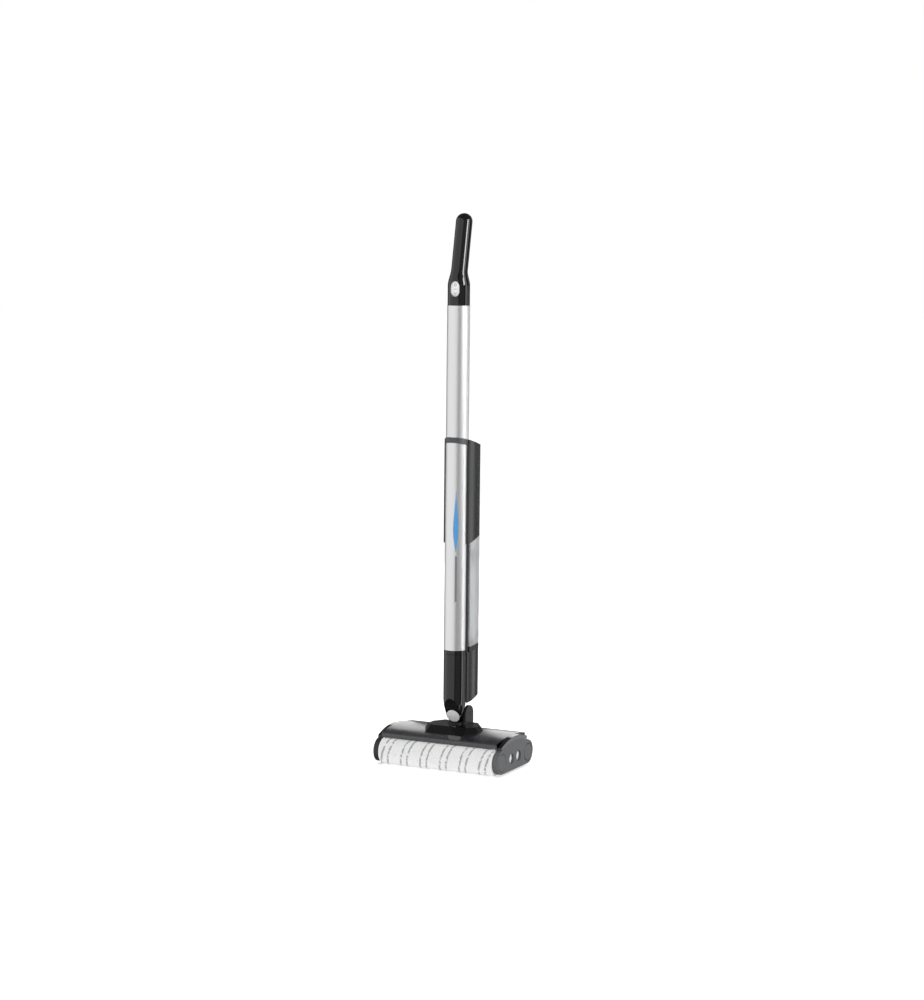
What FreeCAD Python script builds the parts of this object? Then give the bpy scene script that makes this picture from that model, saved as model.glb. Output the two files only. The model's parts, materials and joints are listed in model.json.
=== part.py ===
import FreeCAD, Part
import math
import os
import re

# Cordless twin-roller wet floor scrubber: a flat head with two driven rollers, a swivel link,
# and a tube stick that carries the battery, the clean-water tank, the pump and the handle.
# Frame: millimetres, origin on the floor under the head's centre, +X to the side with the
# roller release buttons, +Y to the rear, +Z up. Positions below are in this frame.

App = FreeCAD
Vec = App.Vector
os.makedirs("parts", exist_ok=True)
doc = App.newDocument("floor_scrubber")

SIZES = {
    # head
    "half_width": 149.5, "plate_thick": 11.0, "wall": 2.2, "lobe_radius": 25.8, "lobe_height": 31.0,
    "arch_height": 68.0, "axle_reach": 66.5, "axle_height": 30.0, "sleeve_radius": 30.0,
    "core_radius": 24.0, "core_wall": 2.5, "roller_half": 137.2, "well_gap": 2.0,
    "pan_floor": 8.0, "hood_reach": 74.0, "hood_edge": 71.0, "hood_top": 78.0, "hood_thick": 2.5,
    "trim_bottom": 60.8, "rim_gap": 0.3, "pedestal_top": 88.5,
    # drive train
    "gear_module": 1.5, "roller_teeth": 28.0, "idler_teeth": 16.0, "pinion_teeth": 10.0,
    "gear_width": 4.4, "gear_backlash": 0.25, "hub_radius": 8.0, "idler_axle_radius": 2.0,
    "motor_radius": 15.5, "motor_length": 55.0, "shaft_radius": 1.5, "running_gap": 0.05,
    # end caps and release buttons
    "cap_radius": 19.0, "cap_pin_radius": 5.0, "button_reach": 18.0, "button_radius": 11.7,
    "button_recess": 4.5,
    # swivel joint
    "cheek_inner": 13.8, "cheek_thick": 6.2, "cheek_radius": 20.0, "pitch_back": 38.0,
    "pitch_height": 106.0, "pin_radius": 4.0, "roll_front": -2.0, "roll_height": 107.6,
    "roll_tilt": 25.0, "lug_radius": 16.7, "lug_length": 16.0, "link_radius": 12.5,
    # stick
    "tube_back": 4.0, "tube_radius": 25.0, "tube_wall": 1.8, "tube_bottom": 254.4,
    "tube_top": 1002.2, "spigot_length": 45.0, "module_radius": 27.0, "module_back": 58.0,
    "module_wall": 2.4, "module_slope": 12.0, "tank_slope": 4.0,
    # handle
    "collar_radius": 24.4, "collar_top": 1045.0, "flare_top": 1076.0, "grip_radius": 18.2,
    "grip_lean": 11.1, "grip_length": 114.5, "handle_wall": 2.6, "button_pill_width": 21.5,
    "button_pill_height": 33.0,
}

sheet = doc.addObject("Spreadsheet::Sheet", "Sizes")
for row, (alias, value) in enumerate(SIZES.items(), start=1):
    sheet.set("A%d" % row, alias)
    sheet.set("B%d" % row, str(value))
    sheet.setAlias("B%d" % row, alias)
doc.recompute()

ALIASES = re.compile(r"\b(%s)\b" % "|".join(sorted(SIZES, key=len, reverse=True)))
NODES = {}
X_AXIS, Z_AXIS = Vec(1, 0, 0), Vec(0, 0, 1)


# ---------------------------------------------------------------- helpers

def size(alias):
    """A driving dimension, read from the sheet."""
    return float(sheet.get(alias))


def bind(obj, **formulas):
    """Bind properties of an object to formulas of sheet cells."""
    for prop, formula in formulas.items():
        obj.setExpression(prop, ALIASES.sub(r"Sizes.\1", str(formula)))
    return obj


def turned(direction, origin, spin=0.0):
    """A placement that sends +Z to the direction."""
    rotation = App.Rotation(Z_AXIS, Vec(*direction))
    return App.Placement(Vec(*origin), rotation * App.Rotation(Z_AXIS, spin))


def cylinder(name, radius, height, origin, direction=(0, 0, 1)):
    """A round bar whose radius and height are formulas, from origin along direction."""
    bar = doc.addObject("Part::Cylinder", name)
    bind(bar, Radius=radius, Height=height)
    bar.Placement = turned(direction, origin)
    return bar


def box(name, low, high):
    """An upright block between two corners."""
    block = doc.addObject("Part::Box", name)
    block.Length, block.Width, block.Height = [b - a for a, b in zip(low, high)]
    block.Placement.Base = Vec(*low)
    return block


def cut(name, base, *tools):
    """The base without the tools."""
    result = doc.addObject("Part::Cut", name)
    result.Base = base
    result.Tool = tools[0] if len(tools) == 1 else join(name + "_tools", *tools)
    return result


def join(name, *parts):
    """Several solids fused into one."""
    result = doc.addObject("Part::MultiFuse", name)
    result.Shapes = list(parts)
    result.Refine = True
    return result


def overlap(name, *parts):
    """What several solids have in common."""
    result = doc.addObject("Part::MultiCommon", name)
    result.Shapes = list(parts)
    return result


def group(name, parts):
    """Separate solids kept together as one node."""
    result = doc.addObject("Part::Compound", name)
    result.Links = list(parts)
    return result


def node(label, obj):
    """Name an object as a finished sub-part."""
    obj.Label = label
    NODES[label] = obj
    return obj


def draw(sketch, outline):
    """A closed outline: a pair is a corner, and four numbers are an arc via the first pair."""
    corners = [Vec(p[-2], p[-1], 0) for p in outline]
    for index, point in enumerate(outline):
        start, end = corners[index - 1], corners[index]
        if start.isEqual(end, 1e-6):
            continue
        if len(point) == 4:
            edge = Part.Arc(start, Vec(point[0], point[1], 0), end)
        else:
            edge = Part.LineSegment(start, end)
        sketch.addGeometry(edge, False)
    return sketch


def new_sketch(body, name, plane, offset, outline=None):
    """A sketch on one of the body's own origin planes, moved along the plane's normal."""
    sketch = body.newObject("Sketcher::SketchObject", name)
    support = [f for f in body.Origin.OriginFeatures if f.Role == plane][0]
    sketch.AttachmentSupport = (support, "")
    sketch.MapMode = "FlatFace"
    sketch.AttachmentOffset = App.Placement(Vec(0, 0, offset), App.Rotation())
    if outline:
        draw(sketch, outline)
    return sketch


def pad(name, plane, offset, length, outline):
    """A body that extrudes an outline along the plane's normal; the length is a formula."""
    body = doc.addObject("PartDesign::Body", name)
    feature = body.newObject("PartDesign::Pad", name + "_pad")
    feature.Profile = new_sketch(body, name + "_sketch", plane, offset, outline)
    bind(feature, Length=length)
    return body


def revolve(name, outline, origin=(0, 0, 0), direction=(0, 0, 1)):
    """A body of revolution: the outline is (radius, distance along the axis)."""
    body = doc.addObject("PartDesign::Body", name)
    feature = body.newObject("PartDesign::Revolution", name + "_turn")
    sketch = new_sketch(body, name + "_sketch", "XZ_Plane", 0, outline)
    feature.Profile = sketch
    feature.ReferenceAxis = (sketch, ["V_Axis"])
    feature.Angle = 360
    body.Placement = turned(direction, origin)
    return body


def loft(name, *levels):
    """A straight-sided body through outlines at rising heights."""
    body = doc.addObject("PartDesign::Body", name)
    sketches = [new_sketch(body, "%s_level_%d" % (name, number), "XY_Plane", height, outline)
                for number, (height, outline) in enumerate(levels)]
    feature = body.newObject("PartDesign::AdditiveLoft", name + "_loft")
    feature.Profile = sketches[0]
    feature.Sections = sketches[1:]
    feature.Ruled = True
    return body


def pocket(body, name, plane, offset, length, outline):
    """Cut an outline out of a body, against the plane's normal."""
    feature = body.newObject("PartDesign::Pocket", name)
    feature.Profile = new_sketch(body, name + "_sketch", plane, offset, outline)
    bind(feature, Length=length)
    return feature


def rectangle(x_low, y_low, x_high, y_high):
    """An upright rectangle as an outline."""
    return [(x_low, y_low), (x_high, y_low), (x_high, y_high), (x_low, y_high)]


def coil(name, radius, wire, turns, length, origin, direction):
    """An open helical spring with plain ends, of eight-sided wire."""
    spring = doc.addObject("Part::Feature", name)
    path = Part.makeHelix((length - 2 * wire) / turns, length - 2 * wire, radius)
    angles = [math.radians(22.5 + 45 * i) for i in range(9)]
    profile = Part.makePolygon([Vec(radius + wire * math.cos(a), 0, wire * math.sin(a)) for a in angles])
    spring.Shape = Part.Wire(path.Edges).makePipeShell([profile], True, True)
    spring.Placement = turned(direction, origin) * App.Placement(Vec(0, 0, wire), App.Rotation())
    return spring


# ---------------------------------------------------------------- shared places

half_width = size("half_width")
plate_inner = half_width - size("plate_thick")
wall = size("wall")
reach, axle_z = size("axle_reach"), size("axle_height")
lobe_r, lobe_z = size("lobe_radius"), size("lobe_height")
tube_y, tube_r = size("tube_back"), size("tube_radius")
gap = size("running_gap")
module_r, module_y = size("module_radius"), size("module_back")


def lobe_outline(inset):
    """The end plate's outline in (Y, Z): two round lobes, a flat bottom and an arched top."""
    radius = lobe_r - inset
    top = size("arch_height") - inset
    rise = top - lobe_z
    # radius of the arch that passes the crown and touches both lobes
    arch = (reach ** 2 + rise ** 2 - radius ** 2) / (2 * (rise - radius))
    centre_z = top - arch
    reach_length = math.hypot(reach, lobe_z - centre_z)
    touch_y = reach + radius * reach / reach_length
    touch_z = lobe_z + radius * (lobe_z - centre_z) / reach_length
    side = radius * math.cos(math.radians(20))
    drop = radius * math.sin(math.radians(20))
    bottom = lobe_z - radius
    return [(-reach, bottom), (reach, bottom),
            (reach + side, lobe_z - drop, touch_y, touch_z),
            (0, top, -touch_y, touch_z),
            (-reach - side, lobe_z - drop, -reach, bottom)]


def hood_outline(drop):
    """The closed region under the hood's curved top, lowered by drop, in (Y, Z)."""
    edge = size("hood_reach")
    return [(-edge, 0), (edge, 0), (edge, size("hood_edge") - drop),
            (0, size("hood_top") - drop, -edge, size("hood_edge") - drop)]


def well_outline(clearance):
    """The space between the two roller wells in (Y, Z), at a clearance from the sleeves."""
    radius = size("sleeve_radius") + clearance
    low = size("pan_floor") + clearance - size("well_gap")
    high = axle_z + radius
    foot = reach - math.sqrt(radius ** 2 - (axle_z - low) ** 2)
    return [(-foot, low), (foot, low), (reach - radius, axle_z, reach, high), (-reach, high),
            (-reach + radius, axle_z, -foot, low)]


# ---------------------------------------------------------------- head: shell and frame

def build_chassis():
    """Long moulded pan between the rollers, open at the top, with the roller wells as walls."""
    span = plate_inner
    body = pad("chassis_pan", "YZ_Plane", -span, "2 * half_width - 2 * plate_thick - 0.2",
               well_outline(size("well_gap")))
    pocket(body, "chassis_inside", "YZ_Plane", span, "2 * half_width",
           well_outline(size("well_gap") + 2.4))
    return node("chassis", body)


def build_hood():
    """Smoke-coloured cover: one curved sheet from the front trim to the rear trim."""
    edge, rim = size("hood_reach"), size("hood_edge")
    thick, top = size("hood_thick"), size("hood_top")
    outline = [(-edge, rim - thick), (0, top - thick, edge, rim - thick),
               (edge, rim), (0, top, -edge, rim)]
    hood = pad("hood_sheet", "YZ_Plane", -plate_inner + 0.2,
               "2 * half_width - 2 * plate_thick - 0.4", outline)
    node("hood", hood)
    for label, side in (("front_trim", -1), ("rear_trim", 1)):
        faces = sorted((side * edge, side * (edge - thick)))
        strip = pad(label + "_strip", "YZ_Plane", -plate_inner + 0.2,
                    "2 * half_width - 2 * plate_thick - 0.4",
                    rectangle(faces[0], size("trim_bottom"), faces[1], rim - thick - 0.1))
        node(label, strip)


def build_hood_rims():
    """Black end rims that close the hood over the two end plates."""
    top = size("hood_top")
    rear_y, front_y = 60.0, -70.0
    rims = []
    for name, start in (("right_rim", plate_inner + 0.1), ("left_rim", -half_width)):
        block = pad(name, "YZ_Plane", start, "plate_thick - 0.1",
                    [(front_y, 56.0), (rear_y, 56.0), (rear_y, 67.5),
                     (0, top, front_y, 63.0)])
        plate = pad(name + "_plate", "YZ_Plane", start - 1, "plate_thick + 2",
                    lobe_outline(-size("rim_gap")))
        rims.append(cut(name + "_rim", block, plate))
    node("hood_rims", group("hood_rims_group", rims))


def build_pedestal():
    """Raised eight-sided base in the hood's middle; its underside follows the hood."""
    def octagon(front, front_half, widest, wide_front, wide_rear, rear, rear_half):
        right = [(front_half, front), (widest, wide_front), (widest, wide_rear), (rear_half, rear)]
        left = [(-x, y) for x, y in reversed(right)]
        return right + left
    top = size("pedestal_top")
    solid = loft("pedestal_solid", (70.0, octagon(-59, 46, 70, -12, 17, 56, 46)),
                 (top, octagon(-25, 43, 57, -8, 14, 40, 40)))
    under = pad("pedestal_under", "YZ_Plane", -80, "160", hood_outline(-0.1))
    node("pedestal", cut("pedestal_cut", solid, under))


def build_hinge_yoke():
    """Two cheeks that hold the pitch pin, a rib between them, and a footplate with a cradle."""
    back, height = size("pitch_back"), size("pitch_height")
    radius = size("cheek_radius")
    top = size("pedestal_top")
    cheek_outline = [(back + radius, 74.0), (back + radius, height),
                     (back, height + radius, back - radius, height), (back - radius, 74.0)]
    cheeks = []
    for name, start in (("right_cheek", size("cheek_inner")),
                        ("left_cheek", -size("cheek_inner") - size("cheek_thick"))):
        cheeks.append(pad(name, "YZ_Plane", start, "cheek_thick", cheek_outline))
    foot = box("yoke_foot", (-20, 12, top - 6), (20, 34, top + 2.2))
    cradle = cylinder("yoke_cradle", "15.0", "9.0", (0, 10, top - 6.0))
    rib = box("yoke_rib", (-14, 50, 80), (14, 54, 97))
    solid = join("yoke_solid", cheeks[0], cheeks[1], foot, cradle, rib)
    hood_below = pad("yoke_hood_below", "YZ_Plane", -60, "120", hood_outline(-0.1))
    pin_hole = cylinder("yoke_pin_hole", "pin_radius", "60", (-30, back, height), (1, 0, 0))
    node("hinge_yoke", cut("yoke_cut", solid, pedestal_copy(), hood_below, pin_hole))
    pin = cylinder("pitch_pin_bar", "pin_radius", "2 * cheek_inner + 2 * cheek_thick - 0.4",
                   (-size("cheek_inner") - size("cheek_thick") + 0.2, back, height), (1, 0, 0))
    node("pitch_pin", pin)


def pedestal_copy():
    """A linked copy of the pedestal's full solid, to cut with."""
    copy = doc.addObject("Part::Compound", "pedestal_tool")
    copy.Links = [NODES["pedestal"]]
    return copy


# ---------------------------------------------------------------- head: drive train

def involute_profile(teeth, backlash):
    """Closed wire of a 20-degree involute gear with a tooth centred on +X."""
    module = size("gear_module")
    pitch = module * teeth / 2
    base = pitch * math.cos(math.radians(20))
    tip, root = pitch + 0.7 * module, pitch - 1.0 * module
    start = max(base, root)
    slim = backlash / pitch / 2
    half = math.pi / 2 / teeth - slim + math.tan(math.radians(20)) - math.radians(20)

    def flank(radius, side):
        roll = math.sqrt(max((radius / base) ** 2 - 1, 0))
        angle = side * (half - (roll - math.atan(roll)))
        return Vec(radius * math.cos(angle), radius * math.sin(angle), 0)

    edges = []
    radii = [start + (tip - start) * step / 4 for step in range(5)]
    for number in range(teeth):
        turn = App.Rotation(Z_AXIS, 360.0 * number / teeth)
        rise = [turn.multVec(flank(r, -1)) for r in radii]
        fall = [turn.multVec(flank(r, 1)) for r in reversed(radii)]
        foot_in = rise[0] * (root / start)
        foot_out = fall[-1] * (root / start)
        next_foot = App.Rotation(Z_AXIS, 360.0 / teeth).multVec(foot_in)
        middle = turn.multVec(Vec(tip, 0, 0))
        valley = turn.multVec(App.Rotation(Z_AXIS, 180.0 / teeth).multVec(Vec(root, 0, 0)))
        if start > root:
            edges.append(Part.LineSegment(foot_in, rise[0]).toShape())
        for points in (rise, fall):
            curve = Part.BSplineCurve()
            curve.interpolate(points)
            edges.append(curve.toShape())
            if points is rise:
                edges.append(Part.Arc(rise[-1], middle, fall[0]).toShape())
        if start > root:
            edges.append(Part.LineSegment(fall[-1], foot_out).toShape())
        edges.append(Part.Arc(foot_out, valley, next_foot).toShape())
    return Part.Wire(edges)


def toothed_disc(name, teeth, width, centre, phase):
    """A spur gear with its axis along +X, from the centre's X on; phase in degrees from +Y."""
    gear = doc.addObject("Part::Feature", name)
    gear.Shape = Part.Face(involute_profile(teeth, size("gear_backlash"))).extrude(Vec(0, 0, width))
    # the profile's X and Y become Y and Z of the part
    axes = App.Rotation(Vec(0, 1, 0), Vec(0, 0, 1), Vec(1, 0, 0), "ZXY")
    gear.Placement = App.Placement(Vec(*centre), axes * App.Rotation(Z_AXIS, phase))
    return gear


def mesh_phase(phase, teeth, next_teeth, bearing):
    """Phase of the next gear so that it meshes, in degrees; bearing points to its centre."""
    return bearing + 180.0 - (phase - bearing) * teeth / next_teeth + 180.0 / next_teeth


def gear_layout():
    """Centres (Y, Z), tooth numbers and phases of the gear line, front roller to rear roller."""
    module = size("gear_module")
    big, small = int(size("roller_teeth")), int(size("idler_teeth"))
    long_step = module * (big + small) / 2
    short_step = module * small
    inner_y = short_step / 2
    base = reach - inner_y
    lift = math.acos((long_step ** 2 + base ** 2 - short_step ** 2) / (2 * long_step * base))
    outer_y = reach - long_step * math.cos(lift)
    outer_z = axle_z + long_step * math.sin(lift)
    places = [("front_roller_gear", -reach, axle_z, big), ("front_outer_idler", -outer_y, outer_z, small),
              ("front_inner_idler", -inner_y, axle_z, small),
              ("rear_inner_idler", inner_y, axle_z, small),
              ("rear_outer_idler", outer_y, outer_z, small), ("rear_roller_gear", reach, axle_z, big)]
    gears, phase, previous = {}, 0.0, None
    for name, y, z, teeth in places:
        if previous:
            bearing = math.degrees(math.atan2(z - previous[1], y - previous[0]))
            phase = mesh_phase(phase, previous[2], teeth, bearing)
        gears[name] = (y, z, teeth, phase)
        previous = (y, z, teeth)
    y, z, teeth, phase = gears["front_inner_idler"]
    pinion = int(size("pinion_teeth"))
    step = module * (small + pinion) / 2
    gears["motor_pinion"] = (y, z + step, pinion, mesh_phase(phase, teeth, pinion, 90.0))
    return gears


def build_drive_train(gears):
    """Gears, axles, motor and the plates that hold them, in the left end of the head."""
    gear_start = -half_width + wall + 0.3
    width = size("gear_width")
    plate_start = gear_start + width + 0.3
    axles = []
    for name, (y, z, teeth, phase) in gears.items():
        disc = toothed_disc(name + "_teeth", teeth, width, (gear_start, y, z), phase)
        if "roller" in name:
            hub = cylinder(name + "_hub", "hub_radius", "9.0", (gear_start + width, y, z), (1, 0, 0))
            dog = pad(name + "_dog", "YZ_Plane", gear_start + width + 9.0, "5.0",
                      rectangle(y - 4.5, z - 4.5, y + 4.5, z + 4.5))
            node(name, join(name + "_fuse", disc, hub, dog))
        elif "idler" in name:
            bore = cylinder(name + "_bore", "idler_axle_radius + running_gap", "20",
                            (gear_start - 5, y, z), (1, 0, 0))
            node(name, cut(name + "_cut", disc, bore))
            axles.append(cylinder(name + "_axle", "idler_axle_radius", "7.4",
                                  (gear_start - 0.2, y, z), (1, 0, 0)))
        else:
            bore = cylinder(name + "_bore", "shaft_radius", "20", (gear_start - 5, y, z), (1, 0, 0))
            node(name, cut(name + "_cut", disc, bore))
            shaft = cylinder("shaft_bar", "shaft_radius", "8.0", (gear_start, y, z), (1, 0, 0))
            node("motor_shaft", shaft)
            motor_start = gear_start + 8.2
            can = cylinder("motor_can", "motor_radius", "motor_length", (motor_start, y, z), (1, 0, 0))
            boss = cylinder("motor_boss", "5.0", "3.0", (motor_start + 55, y, z), (1, 0, 0))
            node("drive_motor", join("motor_fuse", can, boss))
    node("idler_axles", group("axle_group", axles))

    plate = pad("gear_plate", "YZ_Plane", plate_start, "2.6", lobe_outline(wall + 0.1))
    holes = []
    for name, (y, z, teeth, phase) in gears.items():
        radius = "idler_axle_radius"
        if "roller" in name:
            radius = "hub_radius + running_gap"
        if "pinion" in name:
            radius = "4.0"
        holes.append(cylinder(name + "_hole", radius, "20", (plate_start - 5, y, z), (1, 0, 0)))
    node("gearbox_plate", cut("gear_plate_cut", plate, *holes))

    motor_y, motor_z = gears["motor_pinion"][:2]
    saddle = box("motor_saddle", (-112, motor_y - 19, size("pan_floor") + 2.5),
                 (-106, motor_y + 19, motor_z))
    seat = cylinder("motor_seat", "motor_radius + 0.05", "20", (-120, motor_y, motor_z), (1, 0, 0))
    node("motor_bracket", cut("motor_bracket_cut", saddle, seat))


def build_left_end_plate():
    """Fixed gear cover: a cup that hides the gear line."""
    body = pad("left_cover", "YZ_Plane", -half_width, "plate_thick - 0.2", lobe_outline(0))
    pocket(body, "left_cover_inside", "YZ_Plane", -plate_inner + 1, "plate_thick + 1 - wall",
           lobe_outline(wall))
    return node("left_end_plate", body)


def build_right_end():
    """End plate with its two bearing caps and two release buttons."""
    bodies = [pad("right_plate", "YZ_Plane", plate_inner, "plate_thick", lobe_outline(0))]
    holes = []
    reach_b, bore = size("button_reach"), size("button_radius") + 0.3
    cup_depth = 8.5
    for side, which in ((-1, "front"), (1, "rear")):
        button_y, cap_y = side * reach_b, side * reach
        bodies.append(cylinder(which + "_cup", str(bore + 1.2), str(cup_depth),
                               (plate_inner - cup_depth, button_y, lobe_z), (1, 0, 0)))
        holes.append(cylinder(which + "_cup_bore", "button_radius + 0.3", "30",
                              (plate_inner - cup_depth + 1.8, button_y, lobe_z), (1, 0, 0)))
        holes.append(cylinder(which + "_cap_hole", "cap_radius + 0.35", "30",
                              (plate_inner - 5, cap_y, axle_z), (1, 0, 0)))
        hole_r = size("cap_radius") + 0.35
        holes.append(revolve(which + "_cap_bevel",
                             [(0, 0), (hole_r, 0), (hole_r + 1.3, 1.3), (0, 1.3)],
                             (half_width - 1.3, cap_y, axle_z), (1, 0, 0)))

        face = half_width - size("button_recess")
        button = revolve(which + "_button_turn",
                         [(0, 0), (3, 0), (3, 3.5), (11.7, 3.5), (11.7, 7.9),
                          (11.2, 8.3, 10.9, 8.5), (0, 9.2)],
                         (face - 9.2, button_y, lobe_z), (1, 0, 0))
        node(which + "_release_button", button)
        spring_start = plate_inner - cup_depth + 2.0
        node(which + "_release_spring",
             coil(which + "_spring_coil", 7.5, 0.55, 3.4, face - 9.2 + 3.3 - spring_start,
                  (spring_start, button_y, lobe_z), (1, 0, 0)))

        pin = size("cap_pin_radius")
        cap = revolve(which + "_cap_turn",
                      [(0, 0), (pin - 0.6, 0), (pin, 0.6), (pin, 12), (12, 12), (12, 15),
                       (19, 15), (19, 22.3), (17.8, 23.5), (0, 23.5)],
                      (half_width - 23.5, cap_y, axle_z), (1, 0, 0))
        node(which + "_bearing_cap", cap)
    node("right_end_plate", cut("right_plate_cut", join("right_plate_fuse", *bodies), *holes))


def build_roller(which, side):
    """Hollow core with a square drive socket and a bush, under a microfibre sleeve."""
    y, half = side * reach, size("roller_half")
    outer = cylinder(which + "_core_bar", "core_radius", "2 * roller_half", (-half, y, axle_z), (1, 0, 0))
    inner = cylinder(which + "_core_bore", "core_radius - core_wall", "2 * roller_half - 14",
                     (-half + 7, y, axle_z), (1, 0, 0))
    socket = box(which + "_core_socket", (-half - 1, y - 4.55, axle_z - 4.55),
                 (-half + 8, y + 4.55, axle_z + 4.55))
    bush = cylinder(which + "_core_bush", "cap_pin_radius + running_gap", "20",
                    (half - 12, y, axle_z), (1, 0, 0))
    hub_room = cylinder(which + "_hub_room", "hub_radius + 0.1", "10",
                        (-half - 9.5 + 3.4, y, axle_z), (1, 0, 0))
    node(which + "_roller_core", cut(which + "_core_cut", outer, inner, socket, bush, hub_room))
    skin = cylinder(which + "_sleeve_bar", "sleeve_radius", "2 * roller_half - 0.8",
                    (-half + 0.4, y, axle_z), (1, 0, 0))
    hollow = cylinder(which + "_sleeve_bore", "core_radius", "2 * roller_half + 20",
                      (-half - 10, y, axle_z), (1, 0, 0))
    node(which + "_roller_sleeve", cut(which + "_sleeve_cut", skin, hollow))


def build_scraper(which, side):
    """Rubber lip on the well wall that wrings the sleeve."""
    y = side * reach
    sweep = 16.0
    middle = 180.0 if side > 0 else 0.0
    sectors = []
    for name, radius, length, extra in (("back", "sleeve_radius + well_gap - 0.05", "2 * roller_half - 6", 0),
                                        ("front", "sleeve_radius + 0.4", "2 * roller_half", 4)):
        bar = cylinder("%s_scraper_%s" % (which, name), radius, length, (0, 0, 0))
        bar.Angle = sweep + 2 * extra
        start = middle - sweep / 2 - extra
        axes = App.Rotation(Vec(0, 1, 0), Vec(0, 0, 1), Vec(1, 0, 0), "ZXY")
        shift = -size("roller_half") + (3 if name == "back" else 0)
        bar.Placement = App.Placement(Vec(shift, y, axle_z), axes * App.Rotation(Z_AXIS, start))
        sectors.append(bar)
    node(which + "_scraper", cut(which + "_scraper_cut", *sectors))


def build_spray_bar():
    """Water pipe under the hood's front edge with a row of drip nozzles."""
    y, z = -48.0, 68.4
    pipe = cylinder("spray_pipe", "2.5", "240", (-120, y, z), (1, 0, 0))
    nozzles = [cylinder("spray_nozzle_%d" % number, "1.2", "4.2", (x, y, z - 4.6))
               for number, x in enumerate(range(-100, 101, 50))]
    node("spray_bar", join("spray_fuse", pipe, *nozzles))


def build_pan_screws():
    """Six pan-head screws in the underside of the chassis, clear of the floor."""
    head = [(0, 0), (3.0, 0), (3.0, 0.9), (2.4, 1.6), (0, 1.6)]
    screws = [revolve("pan_screw_%d_%d" % (x, y), head, (x, y, size("pan_floor")), (0, 0, -1))
              for x in (-120, 0, 120) for y in (-32, 32)]
    node("pan_screws", group("pan_screw_group", screws))


# ---------------------------------------------------------------- swivel link

tilt = math.radians(size("roll_tilt"))
ROLL_DIR = (0, math.cos(tilt), math.sin(tilt))


def on_roll_axis(distance):
    """A point on the roll axis, measured from the disc's face towards the link."""
    return (0, size("roll_front") + distance * ROLL_DIR[1],
            size("roll_height") + distance * ROLL_DIR[2])


def build_link():
    """Cross piece: a pitch barrel between the cheeks and a roll barrel that carries the neck."""
    back, height = size("pitch_back"), size("pitch_height")
    lug = size("lug_length")
    pitch_barrel = cylinder("pitch_barrel", "link_radius + 0.5", "27.0", (-13.5, back, height), (1, 0, 0))
    roll_barrel = cylinder("roll_barrel", "link_radius", "15.0", on_roll_axis(lug + 0.4), ROLL_DIR)
    end = on_roll_axis(lug + 11.5)
    toward = (0, back - end[1], height - end[2])
    web = cylinder("link_web", "link_radius - 2", "14.0", end, toward)
    solid = join("link_solid", pitch_barrel, roll_barrel, web)
    pitch_bore = cylinder("link_pitch_bore", "pin_radius + running_gap", "60", (-30, back, height), (1, 0, 0))
    roll_bore = cylinder("link_roll_bore", "pin_radius", "13", on_roll_axis(lug), ROLL_DIR)
    node("swivel_link", cut("link_cut", solid, pitch_bore, roll_bore))
    pin = revolve("roll_pin_turn", [(0, 0), (9.0, 0), (9.0, 2.5), (4.0, 2.5), (4.0, 24.0), (0, 24.0)],
                  on_roll_axis(2.6), ROLL_DIR)
    node("roll_pin", pin)


# ---------------------------------------------------------------- stick: neck and tube

def build_neck():
    """Glossy round neck that tapers to the roll lug; a spigot carries the tube."""
    r, spigot = tube_r, tube_r - size("tube_wall") - 0.05
    top, straight, low = size("tube_bottom") - 0.2, 150.0, 101.0
    bullet = 110.0

    def taper(z):
        return r - bullet + math.sqrt(bullet ** 2 - (straight - z) ** 2)
    outline = [(0, low), (taper(low), low), (taper(126.0), 126.0, r, straight), (r, top - 9.0),
               (r - 0.7, top - 8.6), (r - 0.7, top - 7.8), (r, top - 7.4), (r, top),
               (spigot, top), (spigot, top + size("spigot_length")),
               (spigot - 3.0, top + size("spigot_length")), (spigot - 3.0, 172.0), (0, 172.0)]
    body = revolve("neck_turn", outline, (0, tube_y, 0))
    lug = cylinder("neck_lug", "lug_radius", "lug_length", on_roll_axis(0), ROLL_DIR)
    solid = join("neck_solid", body, lug)
    front_face = cylinder("neck_front_room", "60", "40", on_roll_axis(0), [-v for v in ROLL_DIR])
    behind = cylinder("neck_link_room", "link_radius + 0.6", "40",
                      on_roll_axis(size("lug_length")), ROLL_DIR)
    below = pad("neck_below", "YZ_Plane", -40, "80",
                [on_roll_axis(size("lug_length"))[1:], (18.2, 99.0), (18.2, 80.0), (60, 80.0),
                 (60, 139.0), (19.0, 135.0)])
    head_room = cylinder("neck_head_room", "9.4", "5.2", on_roll_axis(0), ROLL_DIR)
    pin_room = cylinder("neck_pin_room", "pin_radius + running_gap", "30", on_roll_axis(0), ROLL_DIR)
    node("neck_front", cut("neck_cut", solid, front_face, behind, below, head_room, pin_room))
    cap = revolve("pivot_cap_turn",
                  [(0, 0), (8.0, 0), (8.0, 1.9), (15.0, 1.9), (15.0, 3.1), (14.2, 3.6), (0, 4.4)],
                  on_roll_axis(1.85), [-v for v in ROLL_DIR])
    node("pivot_cap", cap)


def plan_outline(front_half, front_y, rear_half, rear_y, bulge):
    """Plan of the boxes behind the tube: straight front, slightly bowed sides, round back."""
    middle_x = (front_half + rear_half) / 2 + bulge
    middle_y = (front_y + rear_y) / 2
    return [(-front_half, front_y), (front_half, front_y),
            (middle_x, middle_y, rear_half, rear_y),
            (0, rear_y + rear_half, -rear_half, rear_y),
            (-middle_x, middle_y, -front_half, front_y)]


def behind_tube(name, plan, side):
    """A block with the given plan (X, Y) and side view (Y, Z)."""
    tall = pad(name + "_plan", "XY_Plane", 90, "900", plan)
    wide = pad(name + "_side", "YZ_Plane", -40, "80", side)
    return overlap(name + "_block", tall, wide)


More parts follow.
